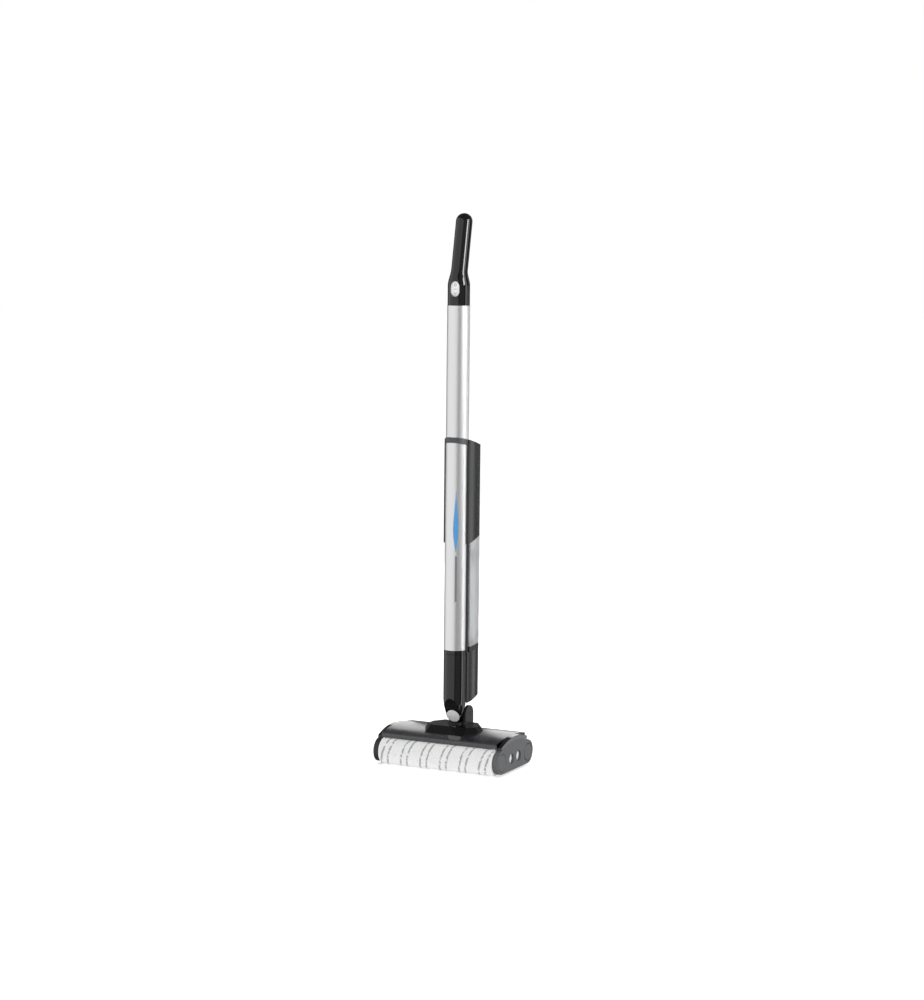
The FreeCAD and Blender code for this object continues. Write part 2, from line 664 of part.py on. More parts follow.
def side_outline(front, rear, bottom, bottom_slope, top, top_slope):
    """Side view (Y, Z) between two sloping lines; bottom and top are heights at the tube axis."""
    low, high = math.tan(math.radians(bottom_slope)), math.tan(math.radians(top_slope))
    return [(front, bottom + low * (front - tube_y)), (rear, bottom + low * (rear - tube_y)),
            (rear, top + high * (rear - tube_y)), (front, top + high * (front - tube_y))]


def tube_room(name, extra):
    """The room that the main tube takes, with extra radius, over the whole stick."""
    return cylinder(name, "tube_radius + %g" % extra, "1100", (0, tube_y, 0))


TANK_LOW, TANK_HIGH, HOUSING_HIGH = 247.5, 487.0, 708.0
MODULE_SLOPE, TANK_SLOPE = size("module_slope"), size("tank_slope")


def build_dock():
    """Pump housing behind the neck; its underside rises to the rear and is rounded."""
    def shell(name, inset):
        plan = plan_outline(25.0 - inset, 12.0 + inset, module_r - inset, module_y, 1.6)
        slope = math.tan(math.radians(TANK_SLOPE))
        top = TANK_LOW - 0.5 - inset
        rear = module_y + module_r - inset
        side = [(10, 135.5 + inset), (28, 137.5 + inset), (62, 146 + inset),
                (79.5, 154 + inset, rear + 0.01, 168), (rear + 0.01, top + slope * (rear - tube_y)),
                (10, top + slope * (10 - tube_y))]
        return behind_tube(name, plan, side)
    outer = shell("dock_outer", 0.0)
    inner = shell("dock_inner", size("module_wall"))
    latch_slot = box("dock_latch_slot", (-9.3, 70, 226), (9.3, 95, 241))
    node("neck_rear", cut("dock_cut", outer, tube_room("dock_tube_room", 0.05),
                          inner_without_tube("dock_inner_room", inner, 2.4), latch_slot))
    pump_body = cylinder("pump_body", "12.0", "40", (0, module_y - 3, 160))
    pump_head = box("pump_head", (-13, 35, 200), (13, module_y + 10, 216))
    inlet = cylinder("pump_inlet", "3.0", "22", (0, module_y - 3, 216))
    node("water_pump", join("pump_fuse", pump_body, pump_head, inlet))


def inner_without_tube(name, inner, clearance):
    """The hollow of a box behind the tube: kept a wall's thickness away from the tube."""
    return cut(name, inner, tube_room(name + "_tube", clearance))


def build_battery_housing():
    """Upper box behind the tube: cells, holder, board and charging socket."""
    def shell(name, inset, front):
        plan = plan_outline(30.0 - inset, front, module_r + 0.3 - inset, module_y, 1.6)
        side = side_outline(front - 6, 110, TANK_HIGH + 0.6 + inset, MODULE_SLOPE,
                            HOUSING_HIGH + 6.0 - inset, -13.0)
        return behind_tube(name, plan, side)
    outer = shell("housing_outer", 0.0, 2.0)
    inner = inner_without_tube("housing_room", shell("housing_inner", size("module_wall"), 14.0), 3.0)
    socket_z = 540
    socket_hole = cylinder("housing_socket_hole", "5.0", "20", (0, 76, socket_z), (0, 1, 0))
    node("battery_housing", cut("housing_cut", outer, tube_room("housing_tube_room", 0.05),
                                ring_zone("housing_ring_room", 0.1), inner, socket_hole))
    cells = [cylinder("cell_%d_%d" % (number, level), "9.2", "65", (side * 9.7, module_y - 1, z))
             for number, side in enumerate((-1, 1)) for level, z in enumerate((538, 612))]
    node("battery_cells", group("cell_group", cells))
    plates = [box("holder_plate_%d" % number, (-20, module_y - 11, z), (20, module_y + 10, z + 6))
              for number, z in enumerate((531.5, 604.5, 677.5))]
    spine = box("holder_spine", (-6, module_y + 8.5, 531.5), (6, module_y + 11, 683.5))
    node("cell_holder", join("holder_fuse", spine, *plates))
    node("control_board", box("board_blank", (-18, 36.5, 545), (18, 38.1, 660)))
    barrel = cylinder("socket_body", "5.0", "12.0", (0, 74.0, socket_z), (0, 1, 0))
    flange = cylinder("socket_flange", "7.0", "1.1", (0, 85.35, socket_z), (0, 1, 0))
    jack = cylinder("socket_jack", "2.8", "30", (0, 77.0, socket_z), (0, 1, 0))
    node("charging_socket", cut("socket_cut", join("socket_fuse", barrel, flange), jack))


def ring_zone(name, extra):
    """Sloping disc that the collar ring fills, around the tube."""
    disc = cylinder(name, "tube_radius + 2.0 + %g" % extra, "%g" % (12.0 + 2 * extra), (0, 0, 0))
    lean = App.Rotation(X_AXIS, -13.0)
    start = Vec(0, tube_y, HOUSING_HIGH) + lean.multVec(Vec(0, 0, -6.0 - extra))
    disc.Placement = App.Placement(start, lean)
    return disc


def build_tank():
    """Clear-water tank: translucent shell with two hinge ears, dark base and a fill plug."""
    def shell(name, inset, low, high, front, top_slope=MODULE_SLOPE):
        plan = plan_outline(27.0 - inset, front, module_r + 0.3 - inset, module_y, 1.6)
        side = side_outline(0, 110, low, TANK_SLOPE, high, top_slope)
        return behind_tube(name, plan, side)
    split = TANK_LOW + 11.0
    back = module_y + module_r + 0.3
    plug_z, hinge_y, hinge_z = 455, back + 1.9, 438.5
    outer = shell("tank_outer", 0.0, split + 0.1, TANK_HIGH, 19.5)
    inner = inner_without_tube(
        "tank_room", shell("tank_inner", 2.2, split - 10, TANK_HIGH - 2.4, 21.7), 5.2)
    fill_hole = cylinder("tank_fill_hole", "8.0", "30", (0, 70, plug_z), (0, 1, 0))
    clear = tube_room("tank_tube_room", 2.7)
    ears = [box("plug_ear_%d" % number, (x, back - 1.8, hinge_z - 2.2), (x + 2.2, back + 3.4, hinge_z + 2.2))
            for number, x in enumerate((-7.6, 5.4))]
    pin_hole = cylinder("plug_pin_hole", "0.85", "20", (-10, hinge_y, hinge_z), (1, 0, 0))
    shell_body = cut("tank_cut", outer, clear, inner, fill_hole)
    node("tank_shell", cut("tank_pin_cut", join("tank_ear_fuse", shell_body, *ears), pin_hole))
    base = shell("tank_base_outer", 0.0, TANK_LOW, split, 19.5, TANK_SLOPE)
    valve = cylinder("tank_valve_bore", "4.0", "60", (0, module_y - 3, 230))
    node("tank_base", cut("tank_base_cut", base, tube_room("base_tube_room", 2.7), valve))
    plug_disc = cylinder("plug_disc", "11.0", "3.0", (0, back + 0.4, plug_z), (0, 1, 0))
    plug_stem = cylinder("plug_stem", "6.8", "4.0", (0, back - 3.4, plug_z), (0, 1, 0))
    plug_lobe = box("plug_lobe", (-5, back + 0.4, hinge_z + 0.5), (5, back + 3.4, plug_z - 8))
    barrel = cylinder("plug_barrel", "1.5", "10", (-5, hinge_y, hinge_z), (1, 0, 0))
    pin = cylinder("plug_pin", "0.8", "14.8", (-7.4, hinge_y, hinge_z), (1, 0, 0))
    node("fill_plug", join("plug_fuse", plug_disc, plug_stem, plug_lobe, barrel, pin))


def build_latch():
    """Sprung tank latch in the top of the pump housing's back."""
    back = module_y + module_r
    plate = box("latch_plate", (-9, back - 9.5, 226.3), (9, back - 0.2, 240.7))
    nose = box("latch_nose", (-4, back - 9.5, 224), (4, back - 7.5, 243))
    node("tank_latch", join("latch_fuse", plate, nose))


def build_tube():
    """Aluminium main tube, its collar ring and the black rail behind it."""
    length = "tube_top - tube_bottom"
    outer = cylinder("tube_outer", "tube_radius", length, (0, tube_y, size("tube_bottom")))
    bore = cylinder("tube_bore", "tube_radius - tube_wall", length + " + 20",
                    (0, tube_y, size("tube_bottom") - 10))
    node("main_tube", cut("tube_cut", outer, bore))
    node("collar_ring", cut("ring_cut", ring_zone("ring_disc", 0.0), tube_room("ring_bore", 0.05)))
    rail = cylinder("rail_outer", "tube_radius + 2.3", "500", (0, tube_y, 200))
    front = box("rail_front", (-40, -60, 150), (40, tube_y, 800))
    slab = pad("rail_slab", "YZ_Plane", -40, "80",
               side_outline(-10, 50, TANK_LOW, TANK_SLOPE, TANK_HIGH + 0.4, MODULE_SLOPE))
    strip = overlap("rail_zone", rail, slab)
    node("spine_rail", cut("rail_cut", strip, front, tube_room("rail_bore", 0.05)))


def build_hose():
    """Water hose from the pump's outlet down through the floor of the pump housing."""
    node("pump_hose", cylinder("hose_bar", "2.5", "54.5", (0, 38.5, 145.5)))


# ---------------------------------------------------------------- stick: handle

def grip_point(distance):
    """A point on the grip's leaning axis, and the axis direction."""
    lean = math.radians(size("grip_lean"))
    start = Vec(0, tube_y + 0.5, size("flare_top") - 6.0)
    direction = Vec(0, math.sin(lean), math.cos(lean))
    return start + direction * distance, direction


def handle_solid(name, inset, bottom):
    """Collar, flare and leaning grip as one solid, inset from the outside by a wall."""
    collar_r, grip_r = size("collar_radius") - inset, size("grip_radius") - inset
    collar_top = size("collar_top")
    foot, direction = grip_point(0)
    collar = cylinder(name + "_collar", str(collar_r), str(collar_top - bottom), (0, tube_y, bottom))
    flare = doc.addObject("Part::Feature", name + "_flare")
    sections = []
    steps = 8
    for step in range(steps + 1):
        part = step / steps
        ease = part * part * (3 - 2 * part)
        radius = collar_r + (grip_r - collar_r) * ease
        lean = math.radians(size("grip_lean")) * part
        centre = Vec(0, tube_y + 0.5 * part + 1.2 * part * part,
                     collar_top + (foot.z + 9.0 - collar_top) * part)
        sections.append(Part.Wire(Part.makeCircle(radius, centre, Vec(0, math.sin(lean), math.cos(lean)))))
    flare.Shape = Part.makeLoft(sections, True)
    length = size("grip_length") - 0.5
    grip = cylinder(name + "_grip", str(grip_r), str(length - 8), tuple(grip_point(8)[0]), tuple(direction))
    top = grip_point(length)[0]
    dome = doc.addObject("Part::Sphere", name + "_dome")
    dome.Radius = grip_r
    dome.Placement.Base = top
    return join(name + "_solid", collar, flare, grip, dome)


def pill(name, width, height, y_low, y_high, z):
    """An upright pill-shaped block that faces forward."""
    half, rise = width / 2, (height - width) / 2
    outline = [(half, z - rise), (half, z + rise), (0, z + rise + half, -half, z + rise),
               (-half, z - rise), (0, z - rise - half, half, z - rise)]
    return pad(name, "XZ_Plane", -y_high, str(y_high - y_low), outline)


def build_handle():
    """Two handle shells around the power button, its spring and its switch."""
    bottom = size("tube_top") + 0.3
    thick = size("handle_wall")
    outer = handle_solid("handle_outer", 0.0, bottom)
    spigot = cylinder("handle_spigot", "tube_radius - tube_wall - 0.05", "spigot_length",
                      (0, tube_y, bottom - size("spigot_length")))
    inner = handle_solid("handle_inner", thick, bottom - 60)
    spigot_room = cylinder("handle_spigot_room", "tube_radius - tube_wall - 2.6", "spigot_length + 5",
                           (0, tube_y, bottom - size("spigot_length") - 5))
    z = 1037.5
    front_y = tube_y - size("collar_radius")
    pill_w, pill_h = size("button_pill_width"), size("button_pill_height")
    window = pill("button_window", pill_w + 1.2, pill_h + 1.2, front_y - 10, front_y + 12, z)
    bezel = overlap("button_bezel", pill("bezel_block", pill_w + 4.4, pill_h + 4.4,
                                         front_y - 5, front_y + 10.5, z),
                    handle_solid("handle_bezel", 0.0, bottom))
    shell = cut("handle_hollow", join("handle_walls", outer, spigot), inner, spigot_room)
    whole = cut("handle_whole", join("handle_with_bezel", shell, bezel), window)
    bend_z = grip_point(0)[0].z
    drift = 200 * math.tan(math.radians(size("grip_lean")))
    for label, side in (("handle_front", -1), ("handle_rear", 1)):
        seam_y, far_y = tube_y + 0.03 * side, 120 * side
        zone = pad(label + "_zone", "YZ_Plane", -60, "120",
                   [(seam_y, 900), (seam_y, bend_z), (seam_y + drift, bend_z + 200),
                    (far_y, bend_z + 200), (far_y, 900)])
        node(label, overlap(label + "_half", whole, zone))

    face_y = front_y + 6.5
    pill_face = pill("power_pill", pill_w, pill_h, face_y, face_y + 3.5, z)
    flange = pill("power_flange", pill_w + 6, pill_h + 6, face_y + 5.0, face_y + 6.2, z)
    stem = pill("power_stem", pill_w - 2, pill_h - 2, face_y + 3.0, face_y + 6.2, z)
    node("power_button", join("power_fuse", pill_face, stem, flange))
    node("power_button_spring",
         coil("power_spring_coil", 5.0, 0.5, 3.4, 6.0, (0, face_y + 6.5, z), (0, 1, 0)))
    node("micro_switch", join("switch_fuse",
                              box("switch_body", (-10, face_y + 12.8, z - 10), (10, face_y + 19, z + 10)),
                              box("switch_plunger", (-1.5, face_y + 8.4, z - 1.5),
                                  (1.5, face_y + 12.9, z + 1.5))))


# ---------------------------------------------------------------- build and write

build_chassis()
build_hood()
build_hood_rims()
build_pedestal()
build_hinge_yoke()
build_drive_train(gear_layout())
build_left_end_plate()
build_right_end()
for roller, direction_sign in (("front", -1), ("rear", 1)):
    build_roller(roller, direction_sign)
    build_scraper(roller, direction_sign)
build_spray_bar()
build_pan_screws()
build_link()
build_neck()
build_dock()
build_battery_housing()
build_tank()
build_latch()
build_tube()
build_hose()
build_handle()
doc.recompute()

broken = [o.Name for o in doc.Objects if "Invalid" in o.State or "Error" in o.State]
if broken:
    raise RuntimeError("failed objects: %s" % broken)
for label, piece in sorted(NODES.items()):
    shape = piece.Shape
    if shape.isNull() or not shape.isValid() or not shape.Solids:
        raise RuntimeError("bad shape: %s" % label)
    shape.exportStep("parts/%s.step" % label)
    room = shape.BoundBox
    print("%-22s solids %d volume %9.0f  x %7.1f %7.1f  y %7.1f %7.1f  z %7.1f %7.1f" % (
        label, len(shape.Solids), shape.Volume, room.XMin, room.XMax, room.YMin, room.YMax,
        room.ZMin, room.ZMax))
print(len(NODES), "nodes")
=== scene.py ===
import json
import math
import random

import bmesh
import bpy
from mathutils import Matrix, Vector, noise


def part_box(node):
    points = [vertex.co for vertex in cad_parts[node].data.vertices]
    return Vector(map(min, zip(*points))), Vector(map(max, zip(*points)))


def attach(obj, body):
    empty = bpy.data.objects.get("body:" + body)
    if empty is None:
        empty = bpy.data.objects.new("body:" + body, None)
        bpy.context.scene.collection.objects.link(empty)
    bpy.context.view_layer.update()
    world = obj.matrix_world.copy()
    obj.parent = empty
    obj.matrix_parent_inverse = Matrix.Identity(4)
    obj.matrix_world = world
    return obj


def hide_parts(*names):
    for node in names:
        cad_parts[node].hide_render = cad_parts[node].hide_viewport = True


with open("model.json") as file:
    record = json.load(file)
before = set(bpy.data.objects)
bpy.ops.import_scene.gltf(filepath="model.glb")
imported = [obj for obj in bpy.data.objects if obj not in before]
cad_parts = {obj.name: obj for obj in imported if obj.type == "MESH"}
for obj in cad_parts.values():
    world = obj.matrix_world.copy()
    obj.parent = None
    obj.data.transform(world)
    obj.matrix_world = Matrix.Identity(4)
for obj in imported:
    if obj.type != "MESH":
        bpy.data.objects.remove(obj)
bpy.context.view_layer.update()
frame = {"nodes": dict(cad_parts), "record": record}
NODES = frame["nodes"]
MM = 0.001


# ---------------------------------------------------------------- camera and studio

def make_camera():
    """Long lens from the front right at the handle's height, looking slightly down."""
    distance, bearing, height = 5.0, math.radians(26.12), 1.106
    pitch, yaw, roll = math.radians(5.98), math.radians(-0.15), math.radians(0.62)
    facing = bearing + yaw
    forward = Vector((-math.sin(facing) * math.cos(pitch), math.cos(facing) * math.cos(pitch),
                      -math.sin(pitch)))
    right = Vector((math.cos(facing), math.sin(facing), 0))
    up = right.cross(forward)
    tilted_right = math.cos(roll) * right + math.sin(roll) * up
    tilted_up = -math.sin(roll) * right + math.cos(roll) * up
    data = bpy.data.cameras.new("camera")
    data.sensor_width = 36.0
    data.lens = 83.5
    camera = bpy.data.objects.new("camera", data)
    turn = Matrix((tilted_right, tilted_up, -forward)).transposed().to_4x4()
    place = Vector((distance * math.sin(bearing), -distance * math.cos(bearing), height))
    camera.matrix_world = Matrix.Translation(place) @ turn
    bpy.context.scene.collection.objects.link(camera)
    bpy.context.scene.camera = camera


def panel_light(name, bearing, distance, height, width, tall, radiance, target_height=0.6):
    """A soft box seen from the object at a bearing (degrees from +X), as bright as radiance."""
    data = bpy.data.lights.new(name, "AREA")
    data.shape = "RECTANGLE"
    data.size, data.size_y = width, tall
    data.energy = radiance * math.pi * width * tall
    lamp = bpy.data.objects.new(name, data)
    angle = math.radians(bearing)
    place = Vector((distance * math.cos(angle), distance * math.sin(angle), height))
    aim = Vector((0, 0, target_height)) - place
    lamp.matrix_world = Matrix.Translation(place) @ aim.to_track_quat("-Z", "Y").to_matrix().to_4x4()
    lamp.visible_camera = False
    bpy.context.scene.collection.objects.link(lamp)


def make_studio():
    """White floor and backdrop; reflections see a grey room with soft boxes around the object."""
    world = bpy.data.worlds.new("room")
    bpy.context.scene.world = world
    world.use_nodes = True
    tree = world.node_tree
    seen = tree.nodes["Background"]
    seen.inputs["Color"].default_value = (1, 1, 1, 1)
    seen.inputs["Strength"].default_value = 1.0
    room = tree.nodes.new("ShaderNodeBackground")
    room.inputs["Color"].default_value = (0.97, 0.98, 1, 1)
    room.inputs["Strength"].default_value = 0.12
    path = tree.nodes.new("ShaderNodeLightPath")
    straight = tree.nodes.new("ShaderNodeMath")
    straight.operation = "MAXIMUM"
    tree.links.new(path.outputs["Is Camera Ray"], straight.inputs[0])
    tree.links.new(path.outputs["Is Transmission Ray"], straight.inputs[1])
    mix = tree.nodes.new("ShaderNodeMixShader")
    tree.links.new(straight.outputs["Value"], mix.inputs["Fac"])
    tree.links.new(room.outputs["Background"], mix.inputs[1])
    tree.links.new(seen.outputs["Background"], mix.inputs[2])
    tree.links.new(mix.outputs["Shader"], tree.nodes["World Output"].inputs["Surface"])

    mesh = bmesh.new()
    bmesh.ops.create_circle(mesh, cap_ends=True, segments=96, radius=40.0)
    data = bpy.data.meshes.new("studio_floor")
    mesh.to_mesh(data)
    mesh.free()
    floor = bpy.data.objects.new("studio_floor", data)
    bpy.context.scene.collection.objects.link(floor)
    paint = Paint("studio_floor").set(Base_Color=(0.9, 0.9, 0.9, 1), Roughness=0.9,
                                      Specular_IOR_Level=0.1, Emission_Color=(1, 1, 1, 1),
                                      Emission_Strength=0.46)
    data.materials.append(paint.material)
    floor.visible_glossy = False

    # name, bearing, distance, height, width, tall, radiance, target height
    panel_light("left_box", -131, 2.0, 0.7, 7.4, 4.4, 0.74, 0.7)
    panel_light("front_fill", -36, 2.6, 0.6, 2.2, 4.4, 0.15, 0.6)
    panel_light("right_strip", 14, 3.0, 0.6, 0.6, 4.4, 2.6, 0.6)
    panel_light("edge_strip", 38, 3.0, -0.25, 1.0, 2.6, 0.95, 0.3)
    panel_light("side_strip", 62, 3.0, 0.6, 0.5, 4.4, 1.05, 0.6)
    panel_light("handle_strip", -9, 3.0, 1.95, 0.85, 1.3, 12.0, 1.1)
    panel_light("back_left", 120.4, 3.2, 0.75, 0.27, 1.4, 1.6, 0.1)
    panel_light("back_right", 99.9, 3.2, 0.75, 1.6, 1.4, 1.45, 0.1)
    sun = bpy.data.lights.new("soft_sky", "SUN")
    sun.energy = 1.75
    sun.angle = math.radians(100)
    lamp = bpy.data.objects.new("soft_sky", sun)
    lamp.visible_glossy = False
    lamp.rotation_euler = (math.radians(-12), math.radians(-8), 0)
    bpy.context.scene.collection.objects.link(lamp)
    bpy.context.scene.view_settings.view_transform = "Standard"


# ---------------------------------------------------------------- materials

class Paint:
    """A material with short calls for the node chains that the finishes share."""

    def __init__(self, name):
        self.material = bpy.data.materials.new(name)
        self.material.use_nodes = True
        self.tree = self.material.node_tree
        self.shader = self.tree.nodes["Principled BSDF"]

    def node(self, kind, **settings):
        made = self.tree.nodes.new(kind)
        for key, value in settings.items():
            setattr(made, key, value)
        return made

    def link(self, source, target):
        self.tree.links.new(source, target)

    def set(self, **values):
        """Uniform values on the shader's own sockets; underscores stand for spaces."""
        for key, value in values.items():
            self.shader.inputs[key.replace("_", " ")].default_value = value
        return self

    def noise(self, scale, detail=4.0, roughness=0.5, stretch=(1, 1, 1)):
        """Object-space noise, stretched along the axes."""
        place = self.node("ShaderNodeTexCoord")
        mapping = self.node("ShaderNodeMapping")
        mapping.inputs["Scale"].default_value = stretch
        texture = self.node("ShaderNodeTexNoise")
        texture.inputs["Scale"].default_value = scale
        texture.inputs["Detail"].default_value = detail
        texture.inputs["Roughness"].default_value = roughness
        self.link(place.outputs["Object"], mapping.inputs["Vector"])
        self.link(mapping.outputs["Vector"], texture.inputs["Vector"])
        return texture.outputs["Fac"]

    def ramp(self, source, *stops):
        """Map a value through (position, colour or grey) stops."""
        ramp = self.node("ShaderNodeValToRGB")
        elements = ramp.color_ramp.elements
        while len(elements) < len(stops):
            elements.new(0.5)
        for element, (position, value) in zip(elements, stops):
            element.position = position
            grey = isinstance(value, (int, float))
            element.color = (value, value, value, 1) if grey else (*value, 1)
        self.link(source, ramp.inputs["Fac"])
        return ramp.outputs["Color"]

    def bump(self, source, strength, distance):
        """Give the shader a fine relief from a grey value; distance is its depth in metres."""
        bump = self.node("ShaderNodeBump")
        bump.inputs["Strength"].default_value = strength
        bump.inputs["Distance"].default_value = distance
        self.link(source, bump.inputs["Height"])
        self.link(bump.outputs["Normal"], self.shader.inputs["Normal"])


def moulded_plastic(name, colour, rough, grain=900.0, coat=0.0):
    """Moulded plastic: fine spark-eroded grain and a slight unevenness of gloss."""
    paint = Paint(name).set(Base_Color=(*colour, 1), Coat_Weight=coat, Coat_Roughness=0.06)
    cloud = paint.noise(14.0, 3.0)
    paint.link(paint.ramp(cloud, (0.3, rough * 0.88), (0.7, rough * 1.12)),
               paint.shader.inputs["Roughness"])
    shade = [tuple(channel * factor for channel in colour) for factor in (0.93, 1.06)]
    paint.link(paint.ramp(cloud, (0.35, shade[0]), (0.65, shade[1])), paint.shader.inputs["Base Color"])
    fine = paint.noise(grain, 2.0)
    paint.bump(fine, 0.25 if rough > 0.3 else 0.015, 0.0001)
    return paint.material


def gloss_plastic(name, colour, rough=0.08, coat=0.3):
    """Polished black plastic with faint wiping marks in its gloss."""
    paint = Paint(name).set(Base_Color=(*colour, 1), Coat_Weight=coat,
                            Coat_Roughness=rough * 0.6, IOR=1.5)
    wipe = paint.noise(30.0, 2.0, 0.5, (1, 1, 0.3))
    paint.link(paint.ramp(wipe, (0.3, rough * 0.85), (0.7, rough * 1.2)),
               paint.shader.inputs["Roughness"])
    paint.bump(paint.noise(1200.0, 2.0), 0.02, 0.00003)
    return paint.material


def aluminium(name):
    """Anodised tube: satin, with very fine drawing lines along its length."""
    paint = Paint(name).set(Metallic=1.0)
    lines = paint.noise(700.0, 3.0, 0.6, (1, 1, 0.01))
    paint.link(paint.ramp(lines, (0.3, 0.40), (0.7, 0.44)), paint.shader.inputs["Roughness"])
    paint.link(paint.ramp(lines, (0.3, (0.90, 0.90, 0.905)), (0.7, (0.95, 0.95, 0.955))),
               paint.shader.inputs["Base Color"])
    return paint.material


def silver_paint(name):
    """Silver lacquer with a fine metallic flake."""
    paint = Paint(name).set(Metallic=0.15, Roughness=0.35, Coat_Weight=0.3, Coat_Roughness=0.1)
    flake = paint.noise(2600.0, 2.0)
    paint.link(paint.ramp(flake, (0.35, (0.84, 0.84, 0.83)), (0.65, (0.97, 0.97, 0.96))),
               paint.shader.inputs["Base Color"])
    paint.bump(flake, 0.15, 0.00005)
    return paint.material


def metal(name, colour, rough):
    """Bare metal with fine drawing lines along X."""
    paint = Paint(name).set(Metallic=1.0, Base_Color=(*colour, 1))
    lines = paint.noise(300.0, 4.0, 0.6, (0.1, 1, 1))
    paint.link(paint.ramp(lines, (0.3, rough * 0.8), (0.7, rough * 1.3)),
               paint.shader.inputs["Roughness"])
    paint.bump(lines, 0.1, 0.00005)
    return paint.material


def clear_plastic(name):
    """Smoky translucent tank plastic: slightly milky, polished outside."""
    paint = Paint(name).set(Base_Color=(0.70, 0.71, 0.72, 1), Roughness=0.12, IOR=1.45,
                            Transmission_Weight=0.8, Coat_Weight=0.3)
    haze = paint.noise(9.0, 3.0)
    paint.link(paint.ramp(haze, (0.3, 0.26), (0.7, 0.34)), paint.shader.inputs["Roughness"])
    return paint.material


def rubber(name):
    """Matt black rubber with a cloudy shade."""
    paint = Paint(name).set(Roughness=0.75, Specular_IOR_Level=0.3)
    cloud = paint.noise(60.0, 4.0)
    paint.link(paint.ramp(cloud, (0.3, 0.018), (0.7, 0.032)), paint.shader.inputs["Base Color"])
    paint.bump(paint.noise(1500.0, 2.0), 0.3, 0.0001)
    return paint.material


def assign_finishes():
    """Give every carried-over CAD node the finish of its slot."""
    finishes = {
        "black_plastic": moulded_plastic("black_plastic", (0.02, 0.02, 0.021), 0.45),
        "black_gloss": gloss_plastic("black_gloss", (0.004, 0.004, 0.0045)),
        "smoke_gloss": gloss_plastic("smoke_gloss", (0.012, 0.012, 0.014), 0.17, 0.15),
        "charcoal_gloss": moulded_plastic("charcoal_gloss", (0.016, 0.016, 0.017), 0.19),
        "dark_strip": moulded_plastic("dark_strip", (0.06, 0.062, 0.066), 0.38),
        "grey_plastic": moulded_plastic("grey_plastic", (0.092, 0.094, 0.097), 0.42),
        "silver_plastic": silver_paint("silver_plastic"),
        "satin_aluminium": aluminium("satin_aluminium"),
        "clear_tank": clear_plastic("clear_tank"),
        "rubber": rubber("rubber"),
        "microfibre": moulded_plastic("microfibre_plain", (0.8, 0.8, 0.78), 0.9),
        "steel": metal("steel", (0.6, 0.6, 0.62), 0.25),
        "dark_steel": metal("dark_steel", (0.05, 0.05, 0.055), 0.35),
        "brass": metal("brass", (0.72, 0.55, 0.28), 0.3),
        "gear_plastic": moulded_plastic("gear_plastic", (0.7, 0.69, 0.65), 0.4),
        "cell_wrap": moulded_plastic("cell_wrap", (0.03, 0.12, 0.3), 0.3),
        "board": moulded_plastic("board", (0.01, 0.12, 0.04), 0.4),
    }
    for part in frame["record"]["subparts"]:
        obj = NODES[part["node"]]
        obj.data.materials.clear()
        obj.data.materials.append(finishes[part["material_slot"]])


# ---------------------------------------------------------------- pieces

def add_mesh(name, vertices, faces, material, body, smooth=True, origin=(0, 0, 0)):
    """Add a mesh in one material that rides on a body; vertices are relative to origin."""
    data = bpy.data.meshes.new(name)
    data.from_pydata(vertices, [], faces)
    data.polygons.foreach_set("use_smooth", [smooth] * len(data.polygons))
    data.materials.append(material)
    data.update()
    piece = bpy.data.objects.new(name, data)
    piece.location = origin
    bpy.context.scene.collection.objects.link(piece)
    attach(piece, body)
    return piece


def pile_material():
    """White microfibre pile with pairs of broken grey lines winding round as one helix."""
    paint = Paint("microfibre_pile").set(Roughness=0.95, Sheen_Weight=0.35, Sheen_Roughness=0.5,
                                         Specular_IOR_Level=0.2)
    pitch = 0.047                # from pair to pair along the roller
    line_places = (0.34, 0.66)   # the two lines of a pair, as parts of the pitch
    solid, faded = 0.029, 0.064  # half-widths of a line and of its soft edge, as parts of the pitch
    place = paint.node("ShaderNodeTexCoord")
    split = paint.node("ShaderNodeSeparateXYZ")
    paint.link(place.outputs["Object"], split.inputs["Vector"])

    def maths(operation, first, second=None, third=None):
        node = paint.node("ShaderNodeMath", operation=operation)
        for socket, value in zip(node.inputs, (first, second, third)):
            if value is None:
                continue
            if isinstance(value, (int, float)):
                socket.default_value = value
            else:
                paint.link(value, socket)
        return node.outputs["Value"]

    away = maths("MULTIPLY", split.outputs["Y"], -1.0)
    turn = maths("DIVIDE", maths("ARCTAN2", split.outputs["Z"], away), 2 * math.pi)
    wander = maths("MULTIPLY", maths("SUBTRACT", paint.noise(90.0, 3.0), 0.5), 0.05)
    along = maths("ADD", maths("DIVIDE", split.outputs["X"], pitch), wander)
    place_in_pair = maths("FRACT", maths("SUBTRACT", along, turn))
    line = None
    for centre in line_places:
        off = maths("ABSOLUTE", maths("SUBTRACT", place_in_pair, centre))
        fade = paint.node("ShaderNodeMapRange")
        for socket, value in (("From Min", solid), ("From Max", faded), ("To Min", 1.0), ("To Max", 0.0)):
            fade.inputs[socket].default_value = value
        paint.link(off, fade.inputs["Value"])
        edge = fade.outputs["Result"]
        line = edge if line is None else maths("MAXIMUM", line, edge)
    breaks = paint.ramp(paint.noise(150.0, 3.0, 0.6), (0.38, 0.0), (0.54, 1.0))
    marks = maths("MULTIPLY", line, breaks)

    tufts = paint.noise(420.0, 4.0, 0.65)
    white = paint.ramp(tufts, (0.25, (0.62, 0.62, 0.615)), (0.6, (0.80, 0.80, 0.795)))
    blend = paint.node("ShaderNodeMix", data_type="RGBA")
    paint.link(paint.ramp(marks, (0.15, 0.0), (0.55, 1.0)), blend.inputs["Factor"])
    paint.link(white, blend.inputs["A"])
    blend.inputs["B"].default_value = (0.36, 0.365, 0.37, 1)
    paint.link(blend.outputs["Result"], paint.shader.inputs["Base Color"])
    paint.bump(tufts, 0.7, 0.0008)
    return paint.material


